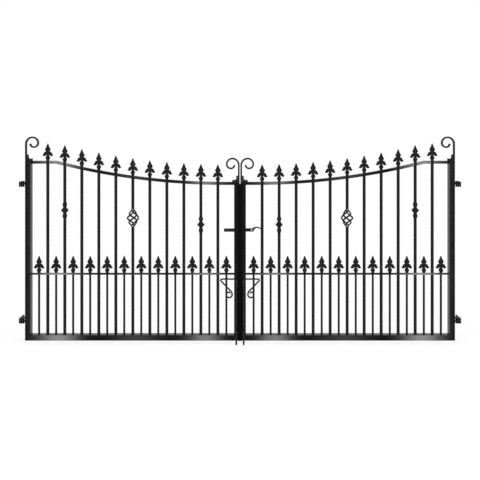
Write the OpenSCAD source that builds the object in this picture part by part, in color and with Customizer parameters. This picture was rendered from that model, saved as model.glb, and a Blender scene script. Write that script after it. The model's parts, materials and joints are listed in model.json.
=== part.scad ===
// Double driveway gate in wrought iron: two mirrored leaves with a swept top rail, hung on wall hinges.
// The origin lies on the wall face of the lower left hinge plate, level with its pin. X runs across
// the opening, -Y towards the drive that the leaves open into, +Z up.

/* [Opening] */
// Width between the two wall faces that the hinge plates are bolted to
opening_w = 3353; // [2600:1:4200]
// Gap between the two closed leaves
meeting_gap = 5.4; // [5.2:0.1:20]
// Distance from the wall face to the hinge pin
pin_offset = 22; // [21.5:0.5:40]
// Distance from the hinge pin to the outer face of the hinge stile
stile_offset = 27; // [25:0.5:50]

/* [Frame] */
// Side of the square box section of the stiles and the bottom rail
frame_w = 42; // [32:1:60]
// Wall of the box section
frame_t = 3; // [2:0.5:5]
// Centre line of the top rail at the hinge side, above the bottom of the leaf
rail_high = 1349.5; // [1250:0.5:1700]
// Centre line of the top rail at the meeting side, above the bottom of the leaf
rail_low = 1188.5; // [1100:0.5:1240]
// Height of the top rail's section
rail_h = 23; // [16:1:30]
// Depth of the top rail in front of the middle plane of the bars
rail_front = 6; // [2:0.5:9]
// Length of the level stretch of the top rail beside the hinge stile
shoulder_run = 180; // [120:1:300]
// Radius of the shoulder where the top rail leaves the level
shoulder_r = 60; // [40:1:300]
// Length of the level stretch of the top rail beside the meeting stile
level_run = 68; // [10:1:120]

/* [Bars] */
// Diameter of the tall round bars
bar_d = 23; // [14:0.5:26]
// Diameter of the short round bars between them
dog_d = 16; // [8:0.5:20]
// Number of short bars in a leaf
dog_n = 12; // [6:2:16]
// Centre of the flat strip that ties the bars, above the bottom of the leaf
strip_z = 505; // [350:1:650]
// Height of the flat strip
strip_h = 15; // [10:1:30]
// Thickness of the flat strip
strip_t = 5; // [3:0.5:8]

/* [Finials] */
// Height of a cast finial from its seat to its tip
finial_h = 131; // [90:0.5:160]
// Width of a cast finial over the tips of its leaves
finial_w = 81; // [50:0.5:100]
// Thickness of the finial's leaves
leaf_t = 10; // [6:0.5:14]

/* [Ornament on the bars] */
// Height of a knotted collar
collar_h = 121; // [80:1:150]
// Diameter of the collar's middle bead
collar_d = 57; // [44:1:70]
// Diameter of the collar's two outer beads
knob_d = 35; // [30:1:42]
// Centre of the collar near the hinge stile, above the bottom of the leaf
collar_high = 984.5; // [800:0.5:1100]
// Centre of the collar near the meeting stile, above the bottom of the leaf
collar_low = 875; // [750:0.5:1000]
// Centre of the twisted basket, above the bottom of the leaf
basket_z = 924.5; // [780:0.5:1050]
// Height of the twisted basket
basket_h = 170; // [120:1:220]
// Diameter over the basket's wires
basket_d = 93; // [60:1:100]
// Diameter of a basket wire
wire_d = 11.5; // [6:0.5:13]
// Turn of the basket's wires from end to end, in degrees
basket_twist = 360; // [180:5:420]

/* [Scrolls] */
// Width of the scroll bar in the plane of the leaf
scroll_w = 13; // [8:0.5:18]
// Depth of the scroll bar
scroll_t = 14; // [8:0.5:20]
// Height of the straight stem below the scroll
stem_h = 129; // [80:1:180]
// Radius of the scroll's first and widest quarter turn
scroll_r = 49; // [40:0.5:60]
// Length of the leaf that braces the stem, along the top of the leaf
brace_w = 43; // [30:1:60]
// Height of the leaf that braces the stem
brace_h = 48; // [30:1:70]
// Thickness of the leaf that braces the stem
brace_t = 12; // [8:0.5:14]

/* [Hinges] */
// Height of the lower hinge above the bottom of the leaf
hinge_low = 147.5; // [80:0.5:300]
// Height of the upper hinge above the bottom of the leaf
hinge_high = 1183.5; // [900:0.5:1230]
// Height of a hinge bracket
bracket_h = 40; // [34:1:60]
// Width of the bracket's lugs, front to back
bracket_w = 28; // [26:1:34]
// Thickness of the bracket's wall plate
plate_t = 6; // [4:0.5:8]
// Distance that the wall plate runs back from the pin
plate_run = 70; // [66:1:110]
// Diameter of the bolt holes in the wall plate
bolt_d = 11; // [8:0.5:14]
// Distance from the pin to the nearer bolt hole
bolt_start = 31; // [28:1:34]
// Distance between the two bolt holes
bolt_pitch = 26; // [20:1:28]
// Diameter of the hinge pin
pin_d = 12; // [8:0.5:14]
// Outer diameter of the eye that turns on the pin
eye_d = 24; // [20:0.5:28]
// Height of the eye
eye_h = 26; // [18:0.5:27]
// Diameter of the shank that joins the eye to the stile
shank_d = 13; // [8:0.5:16]

/* [Drop bolts] */
// Diameter of the drop bolt's rod
rod_d = 14; // [10:0.5:18]
// Distance of the rod from the middle of the gate
rod_x = 28; // [26:0.5:31]
// Distance of the rod's axis in front of the stile
rod_stand = 15; // [13:0.5:20]
// Reach of the rod's tip below the bottom of the leaf
rod_reach = 28; // [10:1:60]
// Height of the handle's arm above the bottom of the leaf
arm_z = 471; // [350:1:600]
// Diameter of the curled handle
handle_d = 12; // [8:0.5:14]
// Length of the handle's straight arm from the rod
arm_run = 107.5; // [90:0.5:140]
// Height of a guide block on the stile
guide_h = 25; // [16:1:40]
// Width of a guide block
guide_w = 24; // [22:1:26]
// Centre of the lower guide block above the bottom of the leaf
guide_z = 75; // [40:1:200]

/* [Latch] */
// Centre of the latch above the bottom of the leaf
latch_z = 829; // [700:1:950]
// Height of the flat latch bolt
latch_h = 25; // [18:1:40]
// Thickness of the flat latch bolt
latch_t = 8; // [5:0.5:10]
// Reach of the latch bolt's eye end from the middle of the gate
latch_reach = 103; // [90:1:116]
// Diameter of the padlock hole
padlock_d = 10; // [6:0.5:12]
// Width of the curved pull
pull_w = 9; // [6:0.5:10]
// Radius of the curved pull
pull_r = 52; // [40:1:70]
// Reach of the keep on the other leaf from the middle of the gate
keep_reach = 123; // [80:0.5:140]
// Thickness of the strap that a loop of the latch is bent from
loop_t = 5; // [3:0.5:8]
// Width of a loop of the latch
loop_w = 11; // [8:1:14]

/* [Hidden] */
$fn = 48;
// Gloss black paint on iron
iron = [0.05, 0.05, 0.055];
// Running clearance of a pin in its hole, on the radius
pin_gap = 0.05;
// Gap between pieces that seat on each other
seat = 0.3;
// Gap round a piece that another one is slipped over or notched for
slip = 0.2;
// Overrun of cuts
cut = 1;

// Plan of a leaf, measured from the middle of the gate
pin_x = opening_w / 2 - pin_offset;
stile_out = pin_x - stile_offset;
stile_in = stile_out - frame_w;
meet_out = meeting_gap / 2;
meet_in = meet_out + frame_w;
frame_y = frame_w / 2;

// Bars stand at a constant pitch, the end ones close to half a pitch from the stiles
end_share = 0.455;
tall_n = dog_n - 1;
pitch = (stile_in - meet_in) / (dog_n - 1 + 2 * end_share);
function dog_x(k) = meet_in + (end_share + k) * pitch;
function tall_x(k) = dog_x(k) + pitch / 2;
bar_r = bar_d / 2;
dog_y = dog_d / 2 - bar_r;
strip_y = -bar_r - slip - strip_t;
dog_top = strip_z + strip_h / 2;
basket_bar = floor(tall_n / 2);

// Sweep of the top rail: level, a shoulder, a long hollow arc of the same angle, level
shoulder_x = stile_in - shoulder_run;
level_x = meet_in + level_run;
sweep_run = shoulder_x - level_x;
sweep_angle = 2 * atan((rail_high - rail_low) / sweep_run);
sweep_r = sweep_run / sin(sweep_angle) - shoulder_r;
turn_x = shoulder_x - shoulder_r * sin(sweep_angle);
function rail_z(x) =
    x >= shoulder_x ? rail_high :
    x >= turn_x ? rail_high - shoulder_r + sqrt(pow(shoulder_r, 2) - pow(shoulder_x - x, 2)) :
    x >= level_x ? rail_low + sweep_r - sqrt(pow(sweep_r, 2) - pow(x - level_x, 2)) : rail_low;
// A tall bar stands up to the rail's top edge on the bar's high side
function bar_top(x) = rail_z(x + bar_r) + rail_h / 2;
high_top = rail_high + rail_h / 2;
low_top = rail_low + rail_h / 2;

// Half outlines of the finial as shares of its half width and its height
spear_shares = [[0, 0.47], [0.26, 0.53], [0.53, 0.65], [0.33, 0.765], [0.18, 0.885], [0.07, 1]];
spear_side_shares = [[0, 0.47], [0.18, 0.52], [0.24, 0.65], [0.18, 0.765], [0.12, 0.885], [0.06, 1]];
core_shares = [[0, 0], [0.27, 0], [0.28, 0.06], [0.45, 0.168], [0.24, 0.29], [0.24, 0.5], [0, 0.54]];
// Each row is the start, the pull and the end of one curve of the drooping leaf
droop_shares = [
    [[0.1, 0.48], [0.46, 0.545], [0.68, 0.46]],
    [[0.68, 0.46], [0.8, 0.385], [1, 0.37]],
    [[1, 0.37], [0.9, 0.25], [0.69, 0.265]],
    [[0.69, 0.265], [0.48, 0.29], [0.1, 0.42]]
];
// Curves of the stem's bracing leaf as shares of its width and height
brace_shares = [
    [[0, 0.98], [0.2, 1.08], [0.32, 0.9]],
    [[0.32, 0.9], [0.2, 0.5], [0.48, 0.36]],
    [[0.48, 0.36], [0.72, 0.24], [0.84, 0.42]],
    [[0.84, 0.42], [1.02, 0.46], [1, 0]]
];
curve_steps = 4;

// Quarter turns of the scroll as shares of the first radius, and its plane, flush with the stile's front
quarter_shares = [1, 0.865, 0.655, 0.54];
scroll_y = scroll_t / 2 - frame_y;

// Curl of the drop bolt's handle as shares of its arm
bend_share = 0.084;
slope_share = 0.95;
ease_share = 0.38;
curl_share = 0.21;
tuck_share = 0.168;
end_turn_share = 0.093;
bend_turn = 134;

// Stations along a basket wire, sides of a wire's section and degrees between stations of a bend
wire_steps = 36;
wire_sides = 10;
bend_step = 12;
wire_end_share = 0.62;
wire_seat = wire_end_share * wire_d * 0.77;
swell_power = 1.7;

// Sleeve of a collar, the rim of its beads, and half the height of a bead as a share of the collar's height
sleeve_t = 1.2;
bead_rim = 1.5;
knob_share = 0.142;
middle_share = 0.16;

// Hinge bracket and pin, and the gap that a swinging leaf keeps from the bracket
slot_h = eye_h + 2 * seat;
swing_gap = 5;
bracket_nose = stile_offset - swing_gap;
nose_r = bracket_h / 4;
head_d = 1.5 * pin_d;
head_h = pin_d / 3;

// Drop bolt and latch planes
rod_y = -frame_y - rod_stand;
rod_top = arm_z + rod_d / 2;
tip_share = 0.5;
tip_rise_share = 0.45;
guide_top = arm_z - handle_d / 2 - seat;
latch_y = frame_y + loop_t + seat;
loop_y = latch_y + latch_t + seat;
loop_h = latch_h + 2 * (seat + loop_t);
latch_start = meet_out + slip + cut;
pull_turn = 75;
pull_lift = 35;

// Frame of the whole part: gate middle to the wall face of the lower left hinge plate
module on_right() {
    translate([opening_w / 2, 0, -hinge_low]) children();
}
module on_left() {
    on_right() mirror([1, 0, 0]) children();
}

function bend_point(p, t) = pow(1 - t, 2) * p[0] + 2 * t * (1 - t) * p[1] + t * t * p[2];
function curve_points(rows) = [
    for (row = rows) for (i = [0 : curve_steps - 1]) bend_point(row, i / curve_steps)
];
function scaled(shares, w, h) = [for (p = shares) [p[0] * w, p[1] * h]];

// Upright plate of the outline drawn in X and Z, with its thickness centred on Y
module upright(t) {
    rotate([90, 0, 0]) linear_extrude(t, center = true) children();
}

// Bar of the given section bent in the XZ plane, from the origin along +X.
// Each step is a straight run, then a turn in degrees, anticlockwise positive, at a radius.
module bent_bar(steps, i = 0) {
    if (i < len(steps)) {
        run = steps[i][0];
        turn = steps[i][1];
        r = steps[i][2];
        side = sign(turn) * r;
        if (run > 0) rotate([0, 90, 0]) linear_extrude(run) children();
        translate([run, 0, side]) {
            if (r > 0) rotate([90, 0, 0]) rotate(turn > 0 ? -90 : 90 + turn)
                rotate_extrude(angle = abs(turn), $fn = ceil(12 * sqrt(r))) translate([r, 0]) children();
            rotate([0, -turn, 0]) translate([0, 0, -side]) bent_bar(steps, i + 1) children();
        }
    }
}

// Stations of the same steps, each a point in X and Z and a heading
function stations(steps, i = 0, p = [0, 0], a = 0) =
    i == len(steps) ? [[p, a]] :
    let (run = steps[i][0], turn = steps[i][1], side = sign(turn) * steps[i][2])
    let (start = p + run * [cos(a), sin(a)], middle = start + side * [-sin(a), cos(a)])
    let (n = ceil(abs(turn) / bend_step))
    concat(run > 0 ? [[p, a]] : [],
        [for (j = [0 : n - 1]) let (b = a + turn * j / n) [middle + side * [sin(b), -cos(b)], b]],
        stations(steps, i + 1, middle + side * [sin(a + turn), -cos(a + turn)], a + turn));
// Ring of points round p in the plane of two unit vectors
function ring(p, d, across, along) = [
    for (j = [0 : wire_sides - 1])
        p + d / 2 * (cos(360 * j / wire_sides) * across + sin(360 * j / wire_sides) * along)
];
// Closed solid through a row of rings
module skin(rings) {
    rows = len(rings);
    n = len(rings[0]);
    function at(i, j) = i * n + j % n;
    sides = [for (i = [0 : rows - 2]) for (j = [0 : n - 1]) for (half = [0, 1])
        half == 0 ? [at(i, j), at(i + 1, j), at(i + 1, j + 1)] : [at(i, j), at(i + 1, j + 1), at(i, j + 1)]];
    first = [for (j = [0 : n - 1]) at(0, j)];
    last = [for (j = [n - 1 : -1 : 0]) at(rows - 1, j)];
    polyhedron([for (r = rings) for (q = r) q], concat(sides, [first, last]));
}

// Frame

module box_stile(x, h) {
    difference() {
        translate([x, -frame_y, 0]) cube([frame_w, frame_w, h]);
        translate([x + frame_t, frame_t - frame_y, -cut])
            cube([frame_w - 2 * frame_t, frame_w - 2 * frame_t, h + cut - frame_t]);
    }
}
module hinge_stile() { color(iron) box_stile(stile_in, high_top); }
module meeting_stile() { color(iron) box_stile(meet_out, low_top); }
module bottom_rail() {
    color(iron) difference() {
        translate([meet_in, -frame_y, 0]) cube([stile_in - meet_in, frame_w, frame_w]);
        translate([meet_in - cut, frame_t - frame_y, frame_t])
            cube([stile_in - meet_in + 2 * cut, frame_w - 2 * frame_t, frame_w - 2 * frame_t]);
    }
}
// Swept rail, notched round the front of every tall bar
module top_rail() {
    rail_d = rail_front + frame_y;
    steps = [[shoulder_run, sweep_angle, shoulder_r], [0, -sweep_angle, sweep_r], [level_run, 0, 0]];
    color(iron) difference() {
        translate([stile_in, frame_y - rail_d / 2, rail_high]) mirror([1, 0, 0]) mirror([0, 0, 1])
            bent_bar(steps) square([rail_h, rail_d], center = true);
        for (k = [0 : tall_n - 1]) translate([tall_x(k), 0, rail_z(tall_x(k)) - rail_h])
            cylinder(r = bar_r + slip, h = 2 * rail_h);
    }
}
module bar_strip() {
    color(iron) translate([meet_in, strip_y, strip_z - strip_h / 2])
        cube([stile_in - meet_in, strip_t, strip_h]);
}

// Bars

module tall_bars() {
    color(iron) for (k = [0 : tall_n - 1]) {
        x = tall_x(k);
        gap_low = basket_z - basket_h / 2;
        gap_high = basket_z + basket_h / 2;
        if (k == basket_bar) {
            translate([x, 0, frame_w]) cylinder(r = bar_r, h = gap_low - frame_w);
            translate([x, 0, gap_high]) cylinder(r = bar_r, h = bar_top(x) - gap_high);
        } else translate([x, 0, frame_w]) cylinder(r = bar_r, h = bar_top(x) - frame_w);
    }
}
module dog_bars() {
    color(iron) for (k = [0 : dog_n - 1]) translate([dog_x(k), dog_y, frame_w])
        cylinder(d = dog_d, h = dog_top - frame_w);
}

// Cast finial on its seat: a diamond core, two drooping leaves and a spear
module finial() {
    half = finial_w / 2;
    rotate_extrude() polygon(scaled(core_shares, half, finial_h));
    upright(leaf_t) for (side = [0, 1]) mirror([side, 0])
        polygon(scaled(curve_points(droop_shares), half, finial_h));
    intersection() {
        upright(finial_w) kite(spear_shares);
        rotate(90) upright(finial_w) kite(spear_side_shares);
    }
}
// Closed outline from a half outline and its mirror
module kite(shares) {
    points = scaled(shares, finial_w / 2, finial_h);
    last = len(points) - 1;
    polygon([for (p = points) p,
        for (i = [last : -1 : 0]) if (points[i][0] > 0) [-points[i][0], points[i][1]]]);
}
module tall_finials() {
    color(iron) for (k = [0 : tall_n - 1]) translate([tall_x(k), 0, bar_top(tall_x(k))]) finial();
}
module dog_finials() {
    color(iron) for (k = [0 : dog_n - 1]) translate([dog_x(k), dog_y, dog_top]) finial();
}

// Knotted collar: a sleeve on the bar with a diamond bead between two lesser ones
module collar() {
    bore = bar_r + slip;
    sleeve = bore + sleeve_t;
    knob_z = collar_h * (0.5 - knob_share);
    half = [
        [sleeve, collar_h / 2], [knob_d / 2, knob_z + bead_rim], [knob_d / 2, knob_z - bead_rim],
        [sleeve, collar_h * (0.5 - 2 * knob_share)], [sleeve, middle_share * collar_h],
        [collar_d / 2, bead_rim]
    ];
    last = len(half) - 1;
    rotate_extrude() polygon(concat([[bore, -collar_h / 2], [bore, collar_h / 2]], half,
        [for (i = [last : -1 : 0]) [half[i][0], -half[i][1]]]));
}
module collars() {
    color(iron) {
        translate([tall_x(1), 0, collar_low]) collar();
        translate([tall_x(tall_n - 2), 0, collar_high]) collar();
    }
}

// Twisted basket: four wires, drawn down at their ends, that swell out between the halves of the middle bar
function wire_point(t, phase) =
    let (r = wire_seat + (basket_d / 2 - wire_d / 2 - wire_seat) * pow(sin(180 * t), swell_power))
    let (a = phase + basket_twist * (t - 0.5))
    [r * cos(a), r * sin(a), (t - 0.5) * basket_h];
function unit(v) = v / norm(v);
function wire_ring(i, phase) =
    let (t = i / wire_steps, p = wire_point(t, phase))
    let (ends = i == 0 || i == wire_steps)
    let (tangent = ends ? [0, 0, 1] :
        unit(wire_point((i + 1) / wire_steps, phase) - wire_point((i - 1) / wire_steps, phase)))
    let (a = phase + basket_twist * (t - 0.5))
    let (across = unit(cross(tangent, [-sin(a), cos(a), 0])), along = cross(tangent, across))
    ring(p, wire_d * (wire_end_share + (1 - wire_end_share) * sin(180 * t)), across, along);
module basket() {
    color(iron) translate([tall_x(basket_bar), 0, basket_z]) for (phase = [0 : 90 : 270])
        skin([for (i = [0 : wire_steps]) wire_ring(i, phase)]);
}

// Scroll on its stem, curling towards +X
module scroll() {
    turns = [for (i = [0 : len(quarter_shares) - 1])
        [i == 0 ? stem_h : 0, -90, quarter_shares[i] * scroll_r]];
    rotate([0, -90, 0]) bent_bar(turns) square([scroll_w, scroll_t], center = true);
}
module hinge_scroll() {
    color(iron) translate([stile_out - scroll_w / 2, scroll_y, high_top]) mirror([1, 0, 0]) scroll();
}
module meeting_scroll() {
    color(iron) translate([meet_out + scroll_w / 2, scroll_y, low_top]) scroll();
}
// Leaf that braces a stem on the top of the frame
module stem_leaf() {
    upright(brace_t) polygon(concat([[0, 0]], scaled(curve_points(brace_shares), brace_w, brace_h),
        [[brace_shares[3][2][0] * brace_w, 0]]));
}
module stem_leaves() {
    color(iron) {
        translate([stile_out - scroll_w - slip, scroll_y, high_top]) mirror([1, 0, 0]) stem_leaf();
        translate([meet_out + scroll_w + slip, scroll_y, low_top]) stem_leaf();
    }
}

// Hinges

// Wall half of a hinge: bolted plate and a rounded clevis for the eye
module hinge_bracket(z) {
    wall = opening_w / 2;
    color(iron) difference() {
        union() {
            translate([wall - plate_t, -bracket_w / 2, z - bracket_h / 2])
                cube([plate_t, bracket_w / 2 + plate_run, bracket_h]);
            translate([0, 0, z]) intersection() {
                upright(bracket_w) clevis_side();
                swing_room();
            }
        }
        translate([pin_x - bracket_nose - cut, -bracket_w, z - slot_h / 2])
            cube([bracket_nose + cut + pin_offset - plate_t, 2 * bracket_w, slot_h]);
        translate([pin_x, 0, z - bracket_h]) cylinder(d = pin_d + 2 * pin_gap, h = 2 * bracket_h);
        for (y = [bolt_start, bolt_start + bolt_pitch]) translate([wall - plate_t - cut, y, z])
            rotate([0, 90, 0]) cylinder(d = bolt_d, h = plate_t + 2 * cut);
    }
}
// Room that the leaf leaves round the pin as it swings
module swing_room() {
    translate([pin_x, 0, 0]) cylinder(r = bracket_nose, h = 2 * bracket_h, center = true);
    translate([pin_x, -bracket_w, -bracket_h]) cube([pin_offset, 2 * bracket_w, 2 * bracket_h]);
}
// Outline of the clevis from the front, rounded at its nose
module clevis_side() {
    nose = pin_x - bracket_nose;
    back = opening_w / 2 - plate_t / 2;
    translate([nose + nose_r, -bracket_h / 2]) square([back - nose - nose_r, bracket_h]);
    translate([nose, nose_r - bracket_h / 2]) square([back - nose, bracket_h - 2 * nose_r]);
    for (z = [-1, 1]) translate([nose + nose_r, z * (bracket_h / 2 - nose_r)]) circle(nose_r);
}
// Headed pin down through a bracket and its eye
module hinge_pin(z) {
    translate([pin_x, 0, z - bracket_h / 2]) cylinder(d = pin_d, h = bracket_h);
    translate([pin_x, 0, z + bracket_h / 2]) cylinder(d = head_d, h = head_h);
}
module hinge_pins() {
    color(iron) {
        on_left() for (z = [hinge_low, hinge_high]) hinge_pin(z);
        on_right() for (z = [hinge_low, hinge_high]) hinge_pin(z);
    }
}
// Eyes on the leaf, each on a shank butted on the stile
module hinge_eyes() {
    color(iron) for (z = [hinge_low, hinge_high]) translate([pin_x, 0, z]) difference() {
        union() {
            cylinder(d = eye_d, h = eye_h, center = true);
            rotate([0, -90, 0]) cylinder(d = shank_d, h = stile_offset);
        }
        cylinder(d = pin_d + 2 * pin_gap, h = 2 * eye_h, center = true);
    }
}

// Drop bolt

// Guide blocks on the front of the meeting stile
module bolt_guides() {
    levels = [guide_z - guide_h / 2, guide_top - guide_h];
    color(iron) for (z = levels) translate([rod_x, 0, z]) difference() {
        translate([-guide_w / 2, rod_y - guide_w / 2, 0]) cube([guide_w, guide_w / 2 + rod_stand, guide_h]);
        translate([0, rod_y, -cut]) cylinder(d = rod_d + 2 * seat, h = guide_h + 2 * cut);
    }
}
// Rod with its arm and curled handle, resting on the upper guide
module drop_bolt() {
    arm = [
        [arm_run, -bend_turn, bend_share * arm_run],
        [slope_share * arm_run, bend_turn - 90, ease_share * arm_run],
        [0, 180, curl_share * arm_run],
        [0, 90, tuck_share * arm_run],
        [0, 80, end_turn_share * arm_run]
    ];
    color(iron) translate([rod_x, rod_y, 0]) {
        rotate_extrude() polygon([[0, -rod_reach], [tip_share * rod_d / 2, -rod_reach],
            [rod_d / 2, tip_rise_share * rod_d - rod_reach], [rod_d / 2, rod_top], [0, rod_top]]);
        translate([0, 0, arm_z]) skin([for (q = stations(arm))
            ring([q[0][0], 0, q[0][1]], handle_d, [0, 1, 0], [-sin(q[1]), 0, cos(q[1])])]);
    }
}

// Latch on the far side of the stiles

// Closed loop that the latch bolt slides through
module latch_loop(x) {
    translate([x, 0, latch_z]) difference() {
        translate([0, frame_y, -loop_h / 2]) cube([loop_w, loop_y + loop_t - frame_y, loop_h]);
        translate([-cut, latch_y - seat, -latch_h / 2 - seat])
            cube([loop_w + 2 * cut, latch_t + 2 * seat, latch_h + 2 * seat]);
    }
}
module latch_guides() {
    color(iron) for (x = [meet_out + loop_w / 2, meet_in - loop_w]) latch_loop(x);
}
// Keep on the other leaf: a strap with a loop at the meeting edge
module latch_keep() {
    start = meet_out + loop_w / 2;
    color(iron) {
        latch_loop(start);
        translate([start, frame_y, latch_z - latch_h / 2]) cube([keep_reach - start, loop_t, latch_h]);
    }
}
// Flat bolt with a slanted eye end, a padlock hole and a curved pull
module latch_bolt() {
    slant = latch_h / 3;
    color(iron) translate([0, latch_y + latch_t / 2, latch_z]) difference() {
        union() {
            upright(latch_t) polygon([[latch_start, -latch_h / 2], [latch_reach - slant, -latch_h / 2],
                [latch_reach, latch_h / 2], [latch_start, latch_h / 2]]);
            translate([latch_reach - pull_w / 2, 0, latch_h / 2 - pull_w / 4]) rotate([0, -pull_lift, 0])
                bent_bar([[0, -pull_turn, pull_r]]) square([pull_w, latch_t], center = true);
        }
        translate([latch_reach - slant / 2 - padlock_d, 0, 0]) rotate([90, 0, 0])
            cylinder(d = padlock_d, h = 2 * latch_t, center = true);
    }
}

module left_lower_hinge_bracket() { on_left() hinge_bracket(hinge_low); }
module left_upper_hinge_bracket() { on_left() hinge_bracket(hinge_high); }
module right_lower_hinge_bracket() { on_right() hinge_bracket(hinge_low); }
module right_upper_hinge_bracket() { on_right() hinge_bracket(hinge_high); }

left_lower_hinge_bracket();
left_upper_hinge_bracket();
right_lower_hinge_bracket();
right_upper_hinge_bracket();
hinge_pins();
on_left() hinge_stile();  // left_hinge_stile
on_left() meeting_stile();  // left_meeting_stile
on_left() bottom_rail();  // left_bottom_rail
on_left() top_rail();  // left_top_rail
on_left() bar_strip();  // left_bar_strip
on_left() tall_bars();  // left_tall_bars
on_left() dog_bars();  // left_dog_bars
on_left() tall_finials();  // left_tall_finials
on_left() dog_finials();  // left_dog_finials
on_left() collars();  // left_collars
on_left() basket();  // left_basket
on_left() hinge_scroll();  // left_hinge_scroll
on_left() meeting_scroll();  // left_meeting_scroll
on_left() stem_leaves();  // left_stem_leaves
on_left() hinge_eyes();  // left_hinge_eyes
on_left() bolt_guides();  // left_bolt_guides
on_left() drop_bolt();  // left_drop_bolt
on_left() latch_keep();
on_right() hinge_stile();  // right_hinge_stile
on_right() meeting_stile();  // right_meeting_stile
on_right() bottom_rail();  // right_bottom_rail
on_right() top_rail();  // right_top_rail
on_right() bar_strip();  // right_bar_strip
on_right() tall_bars();  // right_tall_bars
on_right() dog_bars();  // right_dog_bars
on_right() tall_finials();  // right_tall_finials
on_right() dog_finials();  // right_dog_finials
on_right() collars();  // right_collars
on_right() basket();  // right_basket
on_right() hinge_scroll();  // right_hinge_scroll
on_right() meeting_scroll();  // right_meeting_scroll
on_right() stem_leaves();  // right_stem_leaves
on_right() hinge_eyes();  // right_hinge_eyes
on_right() bolt_guides();  // right_bolt_guides
on_right() drop_bolt();  // right_drop_bolt
on_right() latch_guides();
on_right() latch_bolt();
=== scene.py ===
"""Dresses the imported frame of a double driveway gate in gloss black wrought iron.

The CAD nodes keep their places. Their edges are rounded by modifiers. Castings, scrolls, baskets, drop bolts
and the latch bolt are modelled again in full, and welds, wall bolts and the cover strip are added.
"""

import json
import math

import bmesh
import bpy
from bpy.props import FloatProperty, FloatVectorProperty, IntProperty, PointerProperty
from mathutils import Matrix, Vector


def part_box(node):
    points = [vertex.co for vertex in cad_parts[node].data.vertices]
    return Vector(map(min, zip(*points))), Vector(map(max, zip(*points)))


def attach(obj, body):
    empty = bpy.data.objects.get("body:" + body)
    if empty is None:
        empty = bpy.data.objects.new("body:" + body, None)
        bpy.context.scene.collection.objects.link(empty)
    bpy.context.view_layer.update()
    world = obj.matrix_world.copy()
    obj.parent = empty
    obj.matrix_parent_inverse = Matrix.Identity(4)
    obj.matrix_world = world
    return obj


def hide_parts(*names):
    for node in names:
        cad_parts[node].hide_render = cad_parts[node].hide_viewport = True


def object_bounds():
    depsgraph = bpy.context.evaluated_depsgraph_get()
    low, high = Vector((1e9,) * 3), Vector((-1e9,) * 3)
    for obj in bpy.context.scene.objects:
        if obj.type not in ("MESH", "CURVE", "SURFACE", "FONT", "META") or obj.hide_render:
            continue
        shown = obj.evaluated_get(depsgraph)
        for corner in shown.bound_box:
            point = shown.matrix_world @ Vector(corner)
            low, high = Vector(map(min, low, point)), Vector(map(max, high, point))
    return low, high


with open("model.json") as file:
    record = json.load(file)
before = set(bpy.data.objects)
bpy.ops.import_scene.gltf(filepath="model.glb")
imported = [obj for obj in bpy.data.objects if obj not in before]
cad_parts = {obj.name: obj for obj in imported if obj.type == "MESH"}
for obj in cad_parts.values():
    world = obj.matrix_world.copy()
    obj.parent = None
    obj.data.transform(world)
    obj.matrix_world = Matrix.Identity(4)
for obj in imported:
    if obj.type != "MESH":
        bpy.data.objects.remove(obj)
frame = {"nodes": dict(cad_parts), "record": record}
CAD_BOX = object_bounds()

bl_info = {
    "name": "Wrought iron driveway gate",
    "version": (1, 0, 0),
    "blender": (4, 5, 0),
    "location": "View3D > Sidebar > Gate",
    "description": "Castings, scrolls, welds, paint and stage of a double driveway gate",
    "category": "Object",
}

SIDES = ("left", "right")
MILLIMETRE = 0.001
WHITE = (1, 1, 1, 1)

# Distance at which doubles merge, and the longest turn of one step in a bend, in degrees
MERGE = 1e-5
BEND_STEP = 7.5

# Largest angle that still counts as flat on a CAD node, and the smallest that counts as an edge
FLAT_ANGLE = math.radians(0.5)
EDGE_ANGLE = math.radians(35)

# Weight of large faces in the shading of the edges between them, where 50 is neutral
FACE_WEIGHT = 100


# Settings


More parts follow.
